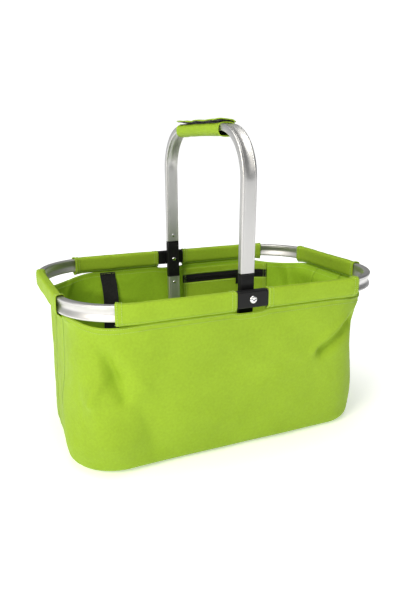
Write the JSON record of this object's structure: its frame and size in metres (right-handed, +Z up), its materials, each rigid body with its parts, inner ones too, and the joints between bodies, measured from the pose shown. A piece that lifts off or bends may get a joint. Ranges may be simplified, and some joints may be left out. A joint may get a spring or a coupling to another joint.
{
  "type": "foldable shopping basket",
  "caption": "Fabric-sided carry basket on an oval metal rim with a folding metal carrying loop, padded grip and zipped inner pocket.",
  "frame": {"origin": "on the floor at the centre of the base", "axes": "+X along the basket's length, +Y across its width towards the wall with the zipped pocket, +Z up"},
  "size_m": [0.4632, 0.3066, 0.4407],
  "materials": {
    "fabric": "woven polyester canvas",
    "aluminium": "satin extrusion",
    "black_plastic": "moulded, satin",
    "webbing": "woven webbing, hook-and-loop and zip tape",
    "rivet_steel": "bright plated",
    "board": "stiff plastic sheet"
  },
  "bodies": {
    "basket": {"bag_back_panel": "fabric", "bag_floor_panel": "fabric", "bag_front_panel": "fabric", "bag_left_end_panel": "fabric", "bag_right_end_panel": "fabric", "base_board": "board", "pivot_rivet_back": "rivet_steel", "pivot_rivet_front": "rivet_steel", "pivot_spacer_back": "black_plastic", "pivot_spacer_front": "black_plastic", "pocket_lower_panel": "fabric", "pocket_upper_panel": "fabric", "rim_bracket_back": "black_plastic", "rim_bracket_front": "black_plastic", "rim_left": "aluminium", "rim_right": "aluminium", "sleeve_back_left": "fabric", "sleeve_back_right": "fabric", "sleeve_front_left": "fabric", "sleeve_front_right": "fabric", "sleeve_left_end": "fabric", "sleeve_right_end": "fabric", "zipper_chain": "black_plastic", "zipper_tape": "webbing"},
    "carrying_loop": {"handle_arch": "aluminium", "lower_arch": "aluminium", "hinge_link_front": "black_plastic", "hinge_link_back": "black_plastic", "link_rivet_front_upper": "rivet_steel", "link_rivet_front_lower": "rivet_steel", "link_rivet_back_upper": "rivet_steel", "link_rivet_back_lower": "rivet_steel", "grip_wrap": "fabric", "grip_hook_strip": "webbing"},
    "grip_flap": {"grip_flap": "fabric", "grip_flap_lining": "webbing"},
    "zip_slider": {"zipper_slider": "black_plastic"},
    "zip_puller": {"zipper_puller": "black_plastic"},
    "closing_strap": {"closing_strap": "webbing"}
  },
  "joints": [
    {"name": "loop_fold", "type": "hinge", "parent": "basket", "child": "carrying_loop", "pos_m": [0, 0, 0.223], "axis": [0, -1, 0], "range_deg": [-90, 90]},
    {"name": "grip_flap_open", "type": "hinge", "parent": "carrying_loop", "child": "grip_flap", "pos_m": [0.0122, 0, 0.4384], "axis": [0, 1, 0], "range_deg": [0, 120]},
    {"name": "zip_slide", "type": "slide", "parent": "basket", "child": "zip_slider", "axis": [1, 0, 0], "range_m": [-0.095, 0.004]},
    {"name": "zip_puller_swing", "type": "hinge", "parent": "zip_slider", "child": "zip_puller", "pos_m": [0.125, 0.13682, 0.182], "axis": [-1, 0, 0], "range_deg": [0, 120]},
    {"name": "closing_strap_swing", "type": "hinge", "parent": "basket", "child": "closing_strap", "pos_m": [-0.10925, 0.14377, 0.206], "axis": [-1, 0, 0], "range_deg": [0, 85]}
  ]
}
